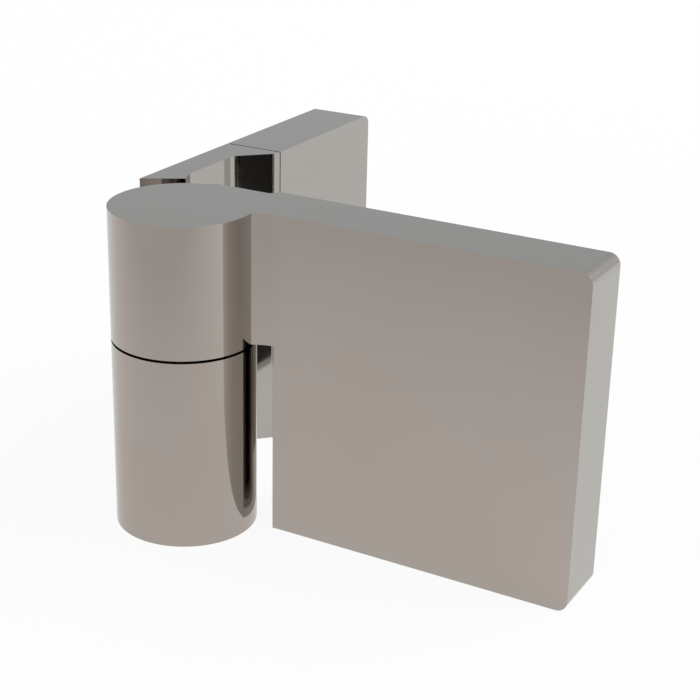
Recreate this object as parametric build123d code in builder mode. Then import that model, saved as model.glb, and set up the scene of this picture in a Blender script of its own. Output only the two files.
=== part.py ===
from build123d import *
from math import cos, radians, sin
import os

os.makedirs("parts", exist_ok=True)

# Driving dimensions, in millimetres and degrees

# Barrel and leaves
height = 60.0
barrel_diameter = 26.0
lower_knuckle_height = 35.4
knuckle_gap = 0.5  # open joint between the two knuckles when the door is shut
leaf_offset = 15.5  # hinge axis to the outer face of either leaf
leaf_thickness = 12.0
leaf_reach = 74.2  # hinge axis to the far end of either leaf
corner_radius = 2.0  # outer corners of both leaves and the bends of the ramp

# Necks that join the knuckles to the leaves
neck_back = 13.75  # hinge axis to the back of either neck
neck_lead = 2.0  # run of a neck's back past the hinge axis
neck_step = 9.2  # hinge axis to the step from a neck's back to its leaf
neck_bend_radius = 10.5  # hollow curve from either knuckle to the front of its leaf
neck_bend_end = 18.2  # hinge axis to the end of that curve on the leaf
leaf_end_distance = 15.85  # hinge axis to the slanted end of either leaf beside the other's knuckle
leaf_end_angle = 32.0

# Glass gasket, let into the back of the door plate
rim = 1.9  # metal left around the gasket
gasket_recess = 1.6
gasket_proud = 0.4
gasket_clearance = 0.1

# Glass clamps
glass_thickness = 8.0
clamp_margin = 24.2  # far end of the plate to the clamp screws
clamp_spacing = 25.0
clamp_screw_diameter = 6.0
clamp_head_diameter = 10.0
clamp_head_height = 3.5
clamp_thread_depth = 8.0
clamp_socket = 4.0
flange_diameter = 20.0  # flanges of the discs and of the sleeves behind the glass
disc_flange = 3.0
sleeve_flange = 1.0
sleeve_diameter = 15.6
sleeve_wall = 1.0
sleeve_hole_clearance = 0.4

# Wall leaf
near_thickness = 5.9  # leaf beside the barrel
seam_distance = 38.3  # hinge axis to the joint between wall leaf and cover
shoulder_length = 1.2  # full thickness between the ramp and that joint
mount_thickness = 5.0  # screwed plate under the cover
screw_distance = 55.0  # hinge axis to the wall screws
screw_spacing = 32.0
screw_hole_diameter = 5.5
screw_head_diameter = 11.0
screw_head_angle = 90.0

# Cover
seam_gap = 0.3
cover_wall = 2.0
cover_sill = 3.0  # lower wall, which holds the cover screw
cover_clearance = 0.3
cover_screw_diameter = 4.0
cover_screw_margin = 8.2  # far end of the cover to its screw
cover_screw_socket = 2.0

# Bores, pin and bearing
pin_diameter = 8.0
bore_diameter = 17.0
chamber_diameter = 15.0  # narrow bottom of the lower bore
chamber_height = 8.0
upper_roof = 5.0  # metal over the blind bore of the upper knuckle
plug_height = 3.5
plug_socket = 6.0
running_clearance = 0.08
free_clearance = 0.3
seat_clearance = 0.05
washer_diameter = 13.0
washer_thickness = 1.0
clip_diameter = 12.0
clip_thickness = 1.0
clip_mouth = 4.0
groove_depth = 0.7
pin_tail = 1.4  # pin below its groove
pin_flat = 1.0  # depth of each of the two flats on the pin's upper end
pin_flat_run = 0.5  # start of the flats below the key
pin_top_clearance = 1.0

# Lifting cams
quarter_lift = 5.0  # rise of the door in a quarter turn
cam_base = 6.0
cam_sink = 3.4  # top of the fixed cam below the top of its knuckle
cam_gap = 0.3
stop_angle = 2.0  # play between the cams' upright stops when the door is shut
grip_share = 0.55  # part of the upper bore that holds the lifting cam, the key taking the rest
key_headroom = 1.1  # free bore over the key

# Set screws of the knuckles
set_screw_diameter = 5.0
set_screw_sink = 0.7  # set screws below the surface of the barrel
set_screw_socket = 2.5
socket_depth = 1.5
edge_break = 0.3


def slanted_end(offset):
    # Reach of a leaf's slanted end, at a distance of the leaf's face from the hinge axis
    return (leaf_end_distance - offset * sin(radians(leaf_end_angle))) / cos(radians(leaf_end_angle))


# Derived sizes
barrel_radius = barrel_diameter / 2
bore_radius = bore_diameter / 2
chamber_radius = chamber_diameter / 2
pin_radius = pin_diameter / 2
leaf_front = leaf_offset - leaf_thickness
near_front = leaf_offset - near_thickness
plate_start = slanted_end(leaf_front)
plate_length = leaf_reach - plate_start
clamp_distance = leaf_reach - clamp_margin
step_end = neck_step + leaf_offset - neck_back
neck_root = neck_back / 2
upper_floor = lower_knuckle_height + knuckle_gap
upper_bore_top = height - upper_roof
ramp_end = seam_distance - shoulder_length
ramp_start = ramp_end - (near_front - leaf_front)
gasket_floor = leaf_offset - gasket_recess
gasket_depth = gasket_proud + gasket_recess
sleeve_radius = sleeve_diameter / 2
sleeve_bore_radius = sleeve_radius - sleeve_wall
disc_radius = sleeve_bore_radius - seat_clearance
flange_radius = flange_diameter / 2
glass_back = gasket_depth + glass_thickness
disc_flange_floor = glass_back + sleeve_flange
disc_height = disc_flange_floor + disc_flange
clamp_head_floor = disc_height - clamp_head_height
clamp_radius = clamp_screw_diameter / 2
clamp_hole_radius = clamp_radius + free_clearance
clamp_head_radius = clamp_head_diameter / 2
clamp_recess_radius = clamp_head_radius + free_clearance
cover_start = seam_distance + seam_gap
cover_end = leaf_reach - cover_wall
cover_screw_distance = leaf_reach - cover_screw_margin
turn_pitch = 4 * quarter_lift
lobe_height = turn_pitch / 2
ramp_floor = lower_knuckle_height - cam_sink - lobe_height
cam_floor = ramp_floor - cam_base
bush_height = cam_floor - chamber_height
follower_floor = ramp_floor + cam_gap + turn_pitch * stop_angle / 360
cam_radius = bore_radius - seat_clearance
follower_radius = bore_radius - free_clearance
journal_radius = pin_radius + running_clearance
lobe_radius = (pin_radius + bore_radius) / 2
upper_fill = upper_bore_top - key_headroom - upper_floor
follower_grip = grip_share * upper_fill
key_height = upper_fill - follower_grip
follower_top = upper_floor + follower_grip
washer_floor = chamber_height - seat_clearance - washer_thickness
clip_floor = washer_floor - seat_clearance - clip_thickness
groove_floor = clip_floor - seat_clearance
groove_height = clip_thickness + 2 * seat_clearance
groove_radius = pin_radius - groove_depth
pin_floor = groove_floor - pin_tail
pin_top = upper_bore_top - pin_top_clearance
flat_floor = follower_top - pin_flat_run
half_flats = pin_radius - pin_flat
set_screw_length = barrel_radius - bore_radius - set_screw_sink

# The origin is on the wall, midway between the two wall screws.
# The pivot plane stands on the hinge axis at the foot of the barrel:
# its x runs along the shut door and its y along the wall.
pivot = Plane(origin=(leaf_offset, -screw_distance, -height / 2))
hinge_axis = Axis(pivot.origin, pivot.z_dir)


def plane_at(x, y, z, x_dir, z_dir):
    return Plane(origin=pivot.from_local_coords((x, y, z)), x_dir=x_dir, z_dir=z_dir)


# The door's back looks into the plate, and the wall face looks away from the wall.
door_front = plane_at(0, leaf_front, 0, (1, 0, 0), (0, -1, 0))
door_back = door_front.offset(-leaf_thickness)
wall_face = plane_at(-leaf_offset, 0, 0, (0, 1, 0), (1, 0, 0))
hinge_section = plane_at(0, 0, 0, (1, 0, 0), (0, -1, 0))

clamp_levels = [height / 2 + side * clamp_spacing / 2 for side in (-1, 1)]
clamp_seats = [plane_at(clamp_distance, gasket_floor, z, (1, 0, 0), (0, 1, 0)) for z in clamp_levels]
clamp_sections = [plane_at(clamp_distance, gasket_floor, z, (1, 0, 0), (0, 0, 1)) for z in clamp_levels]

follower_screw_level = upper_floor + follower_grip / 2
key_screw_level = follower_top + key_height / 2
upper_screw_seats = [
    plane_at(-bore_radius, 0, z, (0, 0, 1), (-1, 0, 0)) for z in (follower_screw_level, key_screw_level)
]
lower_screw_seat = plane_at(0, bore_radius, cam_floor + cam_base / 2, (0, 0, 1), (0, 1, 0))
cover_screw_seat = plane_at(
    mount_thickness / 2 - leaf_offset, cover_screw_distance, cover_sill, (1, 0, 0), (0, 0, -1)
)


def ring(floor, outer_radius, inner_radius, length):
    with BuildSketch(pivot.offset(floor)) as section:
        Circle(outer_radius)
        Circle(inner_radius, mode=Mode.SUBTRACT)
    extrude(section.sketch, amount=length)


def drill(seat, radius, length):
    with BuildSketch(seat) as hole:
        Circle(radius)
    extrude(hole.sketch, amount=length, mode=Mode.SUBTRACT)


def hex_socket(seat, across_flats, depth):
    with BuildSketch(seat) as socket:
        RegularPolygon(across_flats / 2, 6, major_radius=False)
    extrude(socket.sketch, amount=-depth, mode=Mode.SUBTRACT)


def set_screw(seat, diameter, length, across_flats):
    with BuildSketch(seat) as shank:
        Circle(diameter / 2)
    extrude(shank.sketch, amount=length)
    hex_socket(seat.offset(length), across_flats, socket_depth)


def spun(section, outline):
    with BuildSketch(section) as profile:
        with BuildLine():
            Polyline(*outline, close=True)
        make_face()
    revolve(profile.sketch, axis=Axis(section.origin, section.y_dir))


def ramp_space(floor, side):
    # Space swept along one half turn of the cam ramp: over it or under it
    with BuildLine(pivot.offset(floor)) as ramp:
        Helix(turn_pitch, lobe_height, lobe_radius, lefthand=True)
    with BuildSketch(hinge_section) as section:
        with Locations((lobe_radius, floor)):
            Rectangle(bore_radius, turn_pitch, align=(Align.CENTER, side))
    sweep(section.sketch, path=ramp.wires()[0], is_frenet=True)


# Door leaf: upper knuckle, neck and glass plate cast in one
with BuildPart() as door_leaf:
    with BuildSketch(pivot):
        Circle(barrel_radius)
        with BuildLine():
            Polyline(
                (neck_bend_end, leaf_front),
                (neck_bend_end, leaf_offset),
                (step_end, leaf_offset),
                (neck_step, neck_back),
                (-neck_lead, neck_back),
                (-neck_lead - neck_root, neck_back - neck_root),
                (0, 0),
                (neck_bend_end - neck_bend_radius, leaf_front - neck_bend_radius),
            )
            CenterArc((neck_bend_end, leaf_front - neck_bend_radius), neck_bend_radius, 90, 90)
        make_face()
    extrude(amount=height)
    # Room for the lower knuckle below the neck, up to the slanted end of the plate
    with BuildSketch(pivot):
        with BuildLine():
            Polyline(
                (slanted_end(-leaf_offset), -leaf_offset),
                (slanted_end(leaf_offset), leaf_offset),
                (-leaf_offset, leaf_offset),
                (-leaf_offset, -leaf_offset),
                close=True,
            )
        make_face()
    extrude(amount=upper_floor, mode=Mode.SUBTRACT)
    with BuildSketch(door_front) as plate_outline:
        with Locations((plate_start, 0)):
            Rectangle(plate_length, height, align=(Align.MIN, Align.MIN))
        fillet(plate_outline.vertices().group_by(Axis.X)[-1], corner_radius)
    extrude(amount=-leaf_thickness)
    # Shallow seat for the gasket
    with BuildSketch(door_back):
        with Locations((plate_start, rim)):
            Rectangle(plate_length - rim, height - 2 * rim, align=(Align.MIN, Align.MIN))
    extrude(amount=gasket_recess, mode=Mode.SUBTRACT)
    for seat in clamp_seats:
        drill(seat, clamp_radius + seat_clearance, -clamp_thread_depth)
    drill(pivot.offset(upper_floor), bore_radius, upper_bore_top - upper_floor)
    for seat in upper_screw_seats:
        drill(seat, set_screw_diameter / 2 + seat_clearance, barrel_radius)
door_leaf.part.label = "door_leaf"
export_step(door_leaf.part, "parts/door_leaf.step")

# Wall leaf: lower knuckle, its neck, the ramped leaf and the screwed plate under the cover
with BuildPart() as wall_leaf:
    with BuildSketch(pivot):
        Circle(barrel_radius)
        with BuildLine():
            Polyline(
                (-near_front, neck_bend_end),
                (-leaf_offset, neck_bend_end),
                (-leaf_offset, step_end),
                (-neck_back, neck_step),
                (-neck_back, -neck_lead),
                (neck_root - neck_back, -neck_lead - neck_root),
                (0, 0),
                (neck_bend_radius - near_front, neck_bend_end - neck_bend_radius),
            )
            CenterArc((neck_bend_radius - near_front, neck_bend_end), neck_bend_radius, 180, 90)
        make_face()
    extrude(amount=height)
    # Room for the upper knuckle over the neck, up to the slanted end of the leaf
    with BuildSketch(pivot.offset(lower_knuckle_height)):
        with BuildLine():
            Polyline(
                (-leaf_offset, slanted_end(leaf_offset)),
                (leaf_offset, slanted_end(-leaf_offset)),
                (leaf_offset, -leaf_offset),
                (-leaf_offset, -leaf_offset),
                close=True,
            )
        make_face()
    extrude(amount=height - lower_knuckle_height, mode=Mode.SUBTRACT)
    with BuildSketch(pivot) as leaf_plan:
        with BuildLine():
            Polyline(
                (-leaf_offset, slanted_end(leaf_offset)),
                (-near_front, slanted_end(near_front)),
                (-near_front, ramp_start),
                (-leaf_front, ramp_end),
                (-leaf_front, seam_distance),
                (-leaf_offset, seam_distance),
                close=True,
            )
        make_face()
        fillet(leaf_plan.vertices().filter_by_position(Axis.Y, ramp_start, ramp_end), corner_radius)
    extrude(amount=height)
    # Screwed plate, clear of the cover's walls all round
    with BuildSketch(wall_face):
        with Locations((seam_distance, cover_sill + cover_clearance)):
            Rectangle(
                cover_end - cover_clearance - seam_distance,
                height - cover_wall - cover_sill - 2 * cover_clearance,
                align=(Align.MIN, Align.MIN),
            )
    extrude(amount=mount_thickness)
    with Locations(plane_at(mount_thickness - leaf_offset, screw_distance, height / 2, (0, 1, 0), (1, 0, 0))):
        with GridLocations(screw_spacing, screw_spacing, 1, 2):
            CounterSinkHole(
                screw_hole_diameter / 2,
                screw_head_diameter / 2,
                mount_thickness,
                screw_head_angle,
            )
    # Narrow chamber at the bottom, wide bore over it for the bush and the cam
    drill(pivot, chamber_radius, lower_knuckle_height)
    drill(pivot.offset(chamber_height), bore_radius, lower_knuckle_height)
    drill(lower_screw_seat, set_screw_diameter / 2 + seat_clearance, barrel_radius)
wall_leaf.part.label = "wall_leaf"
export_step(wall_leaf.part, "parts/wall_leaf.step")

# Wall cover: shell open towards the wall and towards the seam
with BuildPart() as wall_cover:
    with BuildSketch(wall_face) as cover_outline:
        with Locations((cover_start, 0)):
            Rectangle(leaf_reach - cover_start, height, align=(Align.MIN, Align.MIN))
        fillet(cover_outline.vertices().group_by(Axis.X)[-1], corner_radius)
    extrude(amount=leaf_thickness)
    with BuildSketch(wall_face):
        with Locations((cover_start, cover_sill)):
            Rectangle(cover_end - cover_start, height - cover_wall - cover_sill, align=(Align.MIN, Align.MIN))
    extrude(amount=leaf_thickness - cover_wall, mode=Mode.SUBTRACT)
    drill(cover_screw_seat, cover_screw_diameter / 2 + seat_clearance, cover_sill)
wall_cover.part.label = "wall_cover"
export_step(wall_cover.part, "parts/wall_cover.step")

# Cover screw: driven up through the sill against the screwed plate
with BuildPart() as cover_screw:
    set_screw(
        cover_screw_seat.offset(-cover_clearance),
        cover_screw_diameter,
        cover_sill,
        cover_screw_socket,
    )
cover_screw.part.label = "cover_screw"
export_step(cover_screw.part, "parts/cover_screw.step")

# Glass gasket: a flat black pad
with BuildPart() as glass_gasket:
    with BuildSketch(door_back.offset(-gasket_proud)):
        with Locations((plate_start + gasket_clearance, rim + gasket_clearance)):
            Rectangle(
                plate_length - rim - 2 * gasket_clearance,
                height - 2 * (rim + gasket_clearance),
                align=(Align.MIN, Align.MIN),
            )
    extrude(amount=gasket_depth)
    for seat in clamp_seats:
        drill(seat, sleeve_radius + sleeve_hole_clearance, gasket_depth)
glass_gasket.part.label = "glass_gasket"
export_step(glass_gasket.part, "parts/glass_gasket.step")

# Clamp discs: seated on the plate, each with a flange behind the glass
with BuildPart() as clamp_discs:
    for section in clamp_sections:
        spun(
            section,
            [
                (clamp_hole_radius, 0),
                (disc_radius, 0),
                (disc_radius, disc_flange_floor),
                (flange_radius, disc_flange_floor),
                (flange_radius, disc_height),
                (clamp_recess_radius, disc_height),
                (clamp_recess_radius, clamp_head_floor),
                (clamp_hole_radius, clamp_head_floor),
            ],
        )
clamp_discs.part.label = "clamp_discs"
export_step(clamp_discs.part, "parts/clamp_discs.step")

# Clamp sleeves: plastic liners between disc and glass
with BuildPart() as clamp_sleeves:
    for section in clamp_sections:
        spun(
            section,
            [
                (sleeve_bore_radius, 0),
                (sleeve_radius, 0),
                (sleeve_radius, glass_back),
                (flange_radius, glass_back),
                (flange_radius, disc_flange_floor),
                (sleeve_bore_radius, disc_flange_floor),
            ],
        )
clamp_sleeves.part.label = "clamp_sleeves"
export_step(clamp_sleeves.part, "parts/clamp_sleeves.step")

# Clamp screws: sunk in the discs, with a hexagon socket
with BuildPart() as clamp_screws:
    for section, seat in zip(clamp_sections, clamp_seats):
        spun(
            section,
            [
                (0, free_clearance - clamp_thread_depth),
                (clamp_radius, free_clearance - clamp_thread_depth),
                (clamp_radius, clamp_head_floor),
                (clamp_head_radius, clamp_head_floor),
                (clamp_head_radius, disc_height),
                (0, disc_height),
            ],
        )
        hex_socket(seat.offset(disc_height), clamp_socket, socket_depth)
clamp_screws.part.label = "clamp_screws"
export_step(clamp_screws.part, "parts/clamp_screws.step")

# Hinge pin: turns with the door in the lower bush, and lets the door rise along its flats
with BuildPart() as hinge_pin:
    with BuildSketch(pivot.offset(pin_floor)):
        Circle(pin_radius)
    extrude(amount=pin_top - pin_floor)
    with BuildSketch(pivot.offset(groove_floor)):
        Circle(pin_diameter)
        Circle(groove_radius, mode=Mode.SUBTRACT)
    extrude(amount=groove_height, mode=Mode.SUBTRACT)
    with BuildSketch(pivot.offset(flat_floor)):
        Rectangle(2 * pin_diameter, 2 * pin_diameter)
        Rectangle(2 * pin_diameter, 2 * half_flats, mode=Mode.SUBTRACT)
    extrude(amount=pin_top - flat_floor, mode=Mode.SUBTRACT)
hinge_pin.part.label = "hinge_pin"
export_step(hinge_pin.part, "parts/hinge_pin.step")

# Pin washer and clip: hold the pin up against the lower bush
with BuildPart() as pin_washer:
    ring(washer_floor, washer_diameter / 2, journal_radius, washer_thickness)
pin_washer.part.label = "pin_washer"
export_step(pin_washer.part, "parts/pin_washer.step")

with BuildPart() as pin_clip:
    with BuildSketch(pivot.offset(clip_floor)):
        Circle(clip_diameter / 2)
        Circle(groove_radius + seat_clearance, mode=Mode.SUBTRACT)
        Rectangle(clip_diameter, clip_mouth, align=(Align.MIN, Align.CENTER), mode=Mode.SUBTRACT)
    extrude(amount=clip_thickness)
pin_clip.part.label = "pin_clip"
export_step(pin_clip.part, "parts/pin_clip.step")

# Bottom plug: closes the lower knuckle from below
with BuildPart() as bottom_plug:
    with BuildSketch(pivot):
        Circle(chamber_radius - seat_clearance)
    extrude(amount=plug_height)
    chamfer(bottom_plug.faces().sort_by(Axis.Z)[0].edges(), edge_break)
    hex_socket(pivot, plug_socket, -socket_depth)
bottom_plug.part.label = "bottom_plug"
export_step(bottom_plug.part, "parts/bottom_plug.step")

# Lower bush: bearing of the pin, seated on the step of the lower bore
with BuildPart() as lower_bush:
    ring(chamber_height, cam_radius, journal_radius, bush_height)
lower_bush.part.label = "lower_bush"
export_step(lower_bush.part, "parts/lower_bush.step")

# Lifting cams: two half-turn ramps each, with upright stops where the door is shut
with BuildPart() as space_over_ramp:
    ramp_space(ramp_floor, Align.MIN)

with BuildPart() as fixed_cam:
    ring(cam_floor, cam_radius, pin_radius + free_clearance, cam_base + lobe_height)
    for turn in (0, 180):
        add(space_over_ramp.part.rotate(hinge_axis, turn), mode=Mode.SUBTRACT)
fixed_cam.part.label = "fixed_cam"
export_step(fixed_cam.part, "parts/fixed_cam.step")

with BuildPart() as space_under_ramp:
    ramp_space(follower_floor, Align.MAX)

with BuildPart() as lifting_cam:
    ring(follower_floor, follower_radius, journal_radius, upper_floor - follower_floor)
    ring(upper_floor, cam_radius, journal_radius, follower_grip)
    for turn in (-stop_angle, 180 - stop_angle):
        add(space_under_ramp.part.rotate(hinge_axis, turn), mode=Mode.SUBTRACT)
lifting_cam.part.label = "lifting_cam"
export_step(lifting_cam.part, "parts/lifting_cam.step")

# Pin key: slides up the flats of the pin and turns it with the door
with BuildPart() as pin_key:
    with BuildSketch(pivot.offset(follower_top)):
        Circle(cam_radius)
    extrude(amount=key_height)
    with BuildSketch(pivot.offset(follower_top)):
        Circle(journal_radius)
        Rectangle(2 * pin_diameter, 2 * (half_flats + running_clearance), mode=Mode.INTERSECT)
    extrude(amount=key_height, mode=Mode.SUBTRACT)
pin_key.part.label = "pin_key"
export_step(pin_key.part, "parts/pin_key.step")

# Set screws: lock the cams and the key in their knuckles
with BuildPart() as upper_set_screws:
    for seat in upper_screw_seats:
        set_screw(seat, set_screw_diameter, set_screw_length, set_screw_socket)
upper_set_screws.part.label = "upper_set_screws"
export_step(upper_set_screws.part, "parts/upper_set_screws.step")

with BuildPart() as lower_set_screw:
    set_screw(lower_screw_seat, set_screw_diameter, set_screw_length, set_screw_socket)
lower_set_screw.part.label = "lower_set_screw"
export_step(lower_set_screw.part, "parts/lower_set_screw.step")
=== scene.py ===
import bpy
from mathutils import Euler, Matrix, Vector
from math import radians


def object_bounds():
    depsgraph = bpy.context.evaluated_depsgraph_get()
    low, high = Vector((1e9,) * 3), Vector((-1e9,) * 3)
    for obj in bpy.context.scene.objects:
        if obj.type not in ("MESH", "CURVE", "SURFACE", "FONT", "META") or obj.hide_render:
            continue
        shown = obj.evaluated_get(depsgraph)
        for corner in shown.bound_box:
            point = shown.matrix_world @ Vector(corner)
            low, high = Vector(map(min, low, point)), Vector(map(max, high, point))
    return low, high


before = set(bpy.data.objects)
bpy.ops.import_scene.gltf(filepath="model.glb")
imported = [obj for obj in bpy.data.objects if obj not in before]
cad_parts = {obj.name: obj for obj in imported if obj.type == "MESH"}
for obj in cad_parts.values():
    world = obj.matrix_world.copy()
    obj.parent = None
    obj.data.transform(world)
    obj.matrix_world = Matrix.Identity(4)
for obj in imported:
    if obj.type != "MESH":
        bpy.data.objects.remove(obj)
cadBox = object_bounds()
scene = bpy.context.scene
print("frame loaded:", len(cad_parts), "nodes")


def hexLinear(code):
    channels = [int(code[i:i + 2], 16) / 255 for i in (1, 3, 5)]
    return [c / 12.92 if c <= 0.04045 else ((c + 0.055) / 1.055) ** 2.4 for c in channels] + [1.0]


def addNode(tree, kind, inputs, **settings):
    node = tree.nodes.new(kind)
    for name, value in settings.items():
        setattr(node, name, value)
    for socket, value in inputs.items():
        if isinstance(value, bpy.types.NodeSocket):
            tree.links.new(value, node.inputs[socket])
        else:
            node.inputs[socket].default_value = value
    return node


def addNoise(tree, place, millimetres, detail):
    # a pattern of that real size
    return addNode(tree, "ShaderNodeTexNoise", {
        "Vector": place, "Scale": 1000 / millimetres, "Detail": detail}).outputs[0]


def mixColour(tree, share, first, second):
    return addNode(tree, "ShaderNodeMix", {0: share, 6: first, 7: second}, data_type="RGBA").outputs[2]


def spread(tree, value, source, result, **settings):
    return addNode(tree, "ShaderNodeMapRange", {
        "Value": value, "From Min": source[0], "From Max": source[1],
        "To Min": result[0], "To Max": result[1]}, **settings).outputs[0]


def addRelief(tree, height, depth):
    return addNode(tree, "ShaderNodeBump", {
        "Height": height, "Strength": 1.0, "Distance": depth}).outputs[0]


def startMaterial(name):
    material = bpy.data.materials.new(name)
    material.use_nodes = True
    tree = material.node_tree
    tree.nodes.clear()
    place = addNode(tree, "ShaderNodeTexCoord", {}).outputs["Object"]
    return material, tree, place


def finishMaterial(tree, shader):
    addNode(tree, "ShaderNodeOutputMaterial", {"Surface": shader.outputs[0]})


def dress(material, nodes):
    for name in nodes:
        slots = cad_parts[name].data.materials
        slots.clear()
        slots.append(material)


# in the looks below, patterns are in millimetres and depths of relief in metres
fullRange = (0.0, 1.0)

# polished nickel: bright plating over a buffed casting, mirror-like and a little warm,
# with a faint waviness left by the wheel and a thin haze where it has been wiped
nickel = {
    "colour": "#B6B1AD", "warmColour": "#B2ACA7", "cloudSize": 22.0, "cloudDetail": 2.0,
    "roughness": (0.05, 0.09), "hazeSize": 7.0, "hazeDetail": 4.0, "hazeBand": (0.35, 0.65),
    "waveSize": 9.0, "waveDetail": 0.0, "waveDepth": 0.00001,
}


def polishedNickel():
    material, tree, place = startMaterial("polishedNickel")
    clouds = addNoise(tree, place, nickel["cloudSize"], nickel["cloudDetail"])
    haze = addNoise(tree, place, nickel["hazeSize"], nickel["hazeDetail"])
    wave = addNoise(tree, place, nickel["waveSize"], nickel["waveDetail"])
    finishMaterial(tree, addNode(tree, "ShaderNodeBsdfPrincipled", {
        "Base Color": mixColour(tree, clouds, hexLinear(nickel["colour"]), hexLinear(nickel["warmColour"])),
        "Metallic": 1.0,
        "Roughness": spread(tree, haze, nickel["hazeBand"], nickel["roughness"]),
        "Normal": addRelief(tree, wave, nickel["waveDepth"])}))
    return material


# stainless steel: turned and left plain, greyer and duller than the plating, with fine tool marks
steel = {
    "colour": "#A9A9A6", "darkColour": "#96968F", "roughness": (0.24, 0.36),
    "markSize": 0.6, "markDetail": 3.0, "markDepth": 0.000006,
}


def turnedSteel():
    material, tree, place = startMaterial("turnedSteel")
    marks = addNoise(tree, place, steel["markSize"], steel["markDetail"])
    finishMaterial(tree, addNode(tree, "ShaderNodeBsdfPrincipled", {
        "Base Color": mixColour(tree, marks, hexLinear(steel["colour"]), hexLinear(steel["darkColour"])),
        "Metallic": 1.0,
        "Roughness": spread(tree, marks, fullRange, steel["roughness"]),
        "Normal": addRelief(tree, marks, steel["markDepth"])}))
    return material


# EPDM rubber: moulded, black and dull, with the fine grain of the mould and a greyish bloom
rubber = {
    "colour": "#0C0B09", "bloomColour": "#15130F", "bloomSize": 14.0, "bloomDetail": 3.0,
    "roughness": (0.5, 0.68), "ior": 1.5, "gloss": 0.2,
    "grainSize": 0.5, "grainDetail": 2.0, "grainDepth": 0.00003,
}


def epdmRubber():
    material, tree, place = startMaterial("epdmRubber")
    bloom = addNoise(tree, place, rubber["bloomSize"], rubber["bloomDetail"])
    grain = addNoise(tree, place, rubber["grainSize"], rubber["grainDetail"])
    finishMaterial(tree, addNode(tree, "ShaderNodeBsdfPrincipled", {
        "Base Color": mixColour(tree, bloom, hexLinear(rubber["colour"]), hexLinear(rubber["bloomColour"])),
        "Roughness": spread(tree, grain, fullRange, rubber["roughness"]),
        "IOR": rubber["ior"],
        "Specular IOR Level": rubber["gloss"],
        "Normal": addRelief(tree, grain, rubber["grainDepth"])}))
    return material


# natural acetal: machined, milky white and slightly waxy, with a faint satin grain
acetal = {
    "colour": "#E4E1D8", "creamColour": "#DAD5C8", "cloudSize": 5.0, "cloudDetail": 2.0,
    "roughness": (0.32, 0.44), "ior": 1.48,
    "grainSize": 0.8, "grainDetail": 2.0, "grainDepth": 0.00001,
}


def naturalAcetal():
    material, tree, place = startMaterial("naturalAcetal")
    clouds = addNoise(tree, place, acetal["cloudSize"], acetal["cloudDetail"])
    grain = addNoise(tree, place, acetal["grainSize"], acetal["grainDetail"])
    finishMaterial(tree, addNode(tree, "ShaderNodeBsdfPrincipled", {
        "Base Color": mixColour(tree, clouds, hexLinear(acetal["colour"]), hexLinear(acetal["creamColour"])),
        "Roughness": spread(tree, grain, fullRange, acetal["roughness"]),
        "IOR": acetal["ior"],
        "Normal": addRelief(tree, grain, acetal["grainDepth"])}))
    return material


dress(polishedNickel(), ["door_leaf", "wall_leaf", "wall_cover", "bottom_plug", "clamp_discs"])
dress(turnedSteel(), ["hinge_pin", "pin_washer", "pin_clip", "pin_key", "upper_set_screws",
                      "lower_set_screw", "cover_screw", "clamp_screws"])
dress(epdmRubber(), ["glass_gasket"])
dress(naturalAcetal(), ["lower_bush", "fixed_cam", "lifting_cam", "clamp_sleeves"])
print("materials on")

# pale floor under the foot of the hinge: white where the camera or glass looks at it; where metal looks at
# it, a painted shade, greyer and warmer towards the front and lighter behind, stands in for the lamp's light
# falling off across the floor, with a share left to the light so that the shadow stays
floorLook = {
    "size": 8.0, "colour": "#F6F6F5", "roughness": (0.9, 1.0), "grainSize": 40.0, "grainDetail": 2.0,
    "ownWhite": 0.92, "cameraTone": "#FFFFFF",
    "frontPaintedShade": "#CEC9C5", "frontShadeFade": (-0.21, -0.06), "middlePaintedShade": "#EDE8E3",
    "backShadeFade": (-0.055, -0.04), "backPaintedLight": "#EDF0EE",
}


def paperFloor():
    material, tree, place = startMaterial("paperFloor")
    grain = addNoise(tree, place, floorLook["grainSize"], floorLook["grainDetail"])
    paper = addNode(tree, "ShaderNodeBsdfDiffuse", {
        "Color": hexLinear(floorLook["colour"]),
        "Roughness": spread(tree, grain, fullRange, floorLook["roughness"])})
    split = addNode(tree, "ShaderNodeSeparateXYZ", {0: place})
    # painted light and shade seen only in reflections: darker and warmer at the front, lighter towards the
    # back
    glowWithPaintedShade = hexLinear(floorLook["frontPaintedShade"])
    for fadeName, shadeName in (("frontShadeFade", "middlePaintedShade"), ("backShadeFade", "backPaintedLight")):
        fade = spread(tree, split.outputs["Y"], floorLook[fadeName], fullRange)
        glowWithPaintedShade = mixColour(tree, fade, glowWithPaintedShade, hexLinear(floorLook[shadeName]))
    path = addNode(tree, "ShaderNodeLightPath", {})
    glowWithPaintedShade = mixColour(tree, path.outputs["Is Glossy Ray"], hexLinear(floorLook["cameraTone"]), glowWithPaintedShade)
    white = addNode(tree, "ShaderNodeEmission", {"Color": glowWithPaintedShade})
    seen = path.outputs["Is Camera Ray"]
    for ray in ("Is Glossy Ray", "Is Transmission Ray"):
        seen = addNode(tree, "ShaderNodeMath", {
            0: seen, 1: path.outputs[ray]}, operation="MAXIMUM").outputs[0]
    share = addNode(tree, "ShaderNodeMath", {
        0: seen, 1: floorLook["ownWhite"]}, operation="MULTIPLY").outputs[0]
    finishMaterial(tree, addNode(tree, "ShaderNodeMixShader", {
        0: share, 1: paper.outputs[0], 2: white.outputs[0]}))
    return material


def makeFloor():
    bpy.ops.mesh.primitive_plane_add(size=floorLook["size"], location=(0, 0, cadBox[0].z))
    floor = bpy.context.object
    floor.name = "floor"
    floor.data.materials.append(paperFloor())


makeFloor()
print("floor down")

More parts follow.
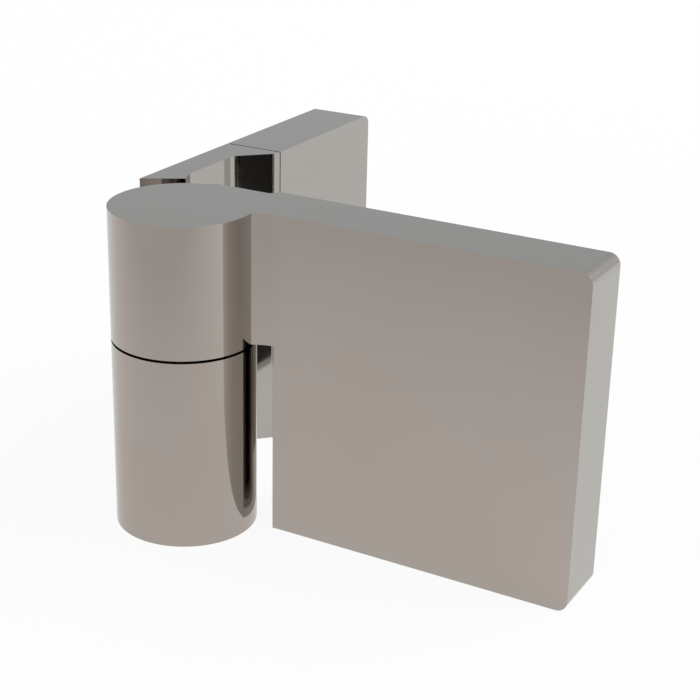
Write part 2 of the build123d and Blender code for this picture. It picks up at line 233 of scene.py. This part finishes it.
# soft studio light: a pale room, lighter on the right, and one broad lamp from behind on that side
room = {"colour": "#BFC3C5", "lightColour": "#DADADA", "turn": (-0.25, 0.35)}
lamp = {"place": (0.65, 0.55, 0.75), "aim": (0.045, -0.03, 0.0), "size": 0.9, "watts": 10.0,
        "colour": "#FFFFFF"}


def makeRoom():
    world = bpy.data.worlds.new("paleRoom")
    scene.world = world
    world.use_nodes = True
    tree = world.node_tree
    tree.nodes.clear()
    way = addNode(tree, "ShaderNodeTexCoord", {}).outputs["Generated"]
    split = addNode(tree, "ShaderNodeSeparateXYZ", {0: way})
    side = spread(tree, split.outputs["X"], room["turn"], fullRange, interpolation_type="SMOOTHSTEP")
    shade = addNode(tree, "ShaderNodeBackground", {
        "Color": mixColour(tree, side, hexLinear(room["colour"]), hexLinear(room["lightColour"]))})
    addNode(tree, "ShaderNodeOutputWorld", {"Surface": shade.outputs[0]})


def makeLamp():
    light = bpy.data.lights.new("softLamp", "AREA")
    light.size = lamp["size"]
    light.energy = lamp["watts"]
    light.color = hexLinear(lamp["colour"])[:3]
    holder = bpy.data.objects.new("softLamp", light)
    scene.collection.objects.link(holder)
    holder.location = lamp["place"]
    beam = Vector(lamp["aim"]) - holder.location
    holder.rotation_euler = beam.to_track_quat("-Z", "Y").to_euler()


makeRoom()
makeLamp()
print("light set")

# the photo's viewpoint, which lies a little left of the middle of its frame
view = {"place": (0.171236, -0.279507, 0.113380), "azimuth": 29.841, "elevation": 22.039, "roll": 0.865,
        "sensor": 36.0, "lens": 84.368, "shift": 0.05, "clip": (0.01, 20.0)}


def makeCamera():
    data = bpy.data.cameras.new("camera")
    data.sensor_width = view["sensor"]
    data.lens = view["lens"]
    data.shift_x = view["shift"]
    data.clip_start, data.clip_end = view["clip"]
    camera = bpy.data.objects.new("camera", data)
    scene.collection.objects.link(camera)
    turn = Euler((radians(90 - view["elevation"]), 0, radians(view["azimuth"]))).to_matrix()
    camera.rotation_euler = (turn @ Matrix.Rotation(radians(view["roll"]), 3, "Z")).to_euler()
    camera.location = view["place"]
    scene.camera = camera


makeCamera()
scene.view_settings.view_transform = "Standard"
print("camera placed")
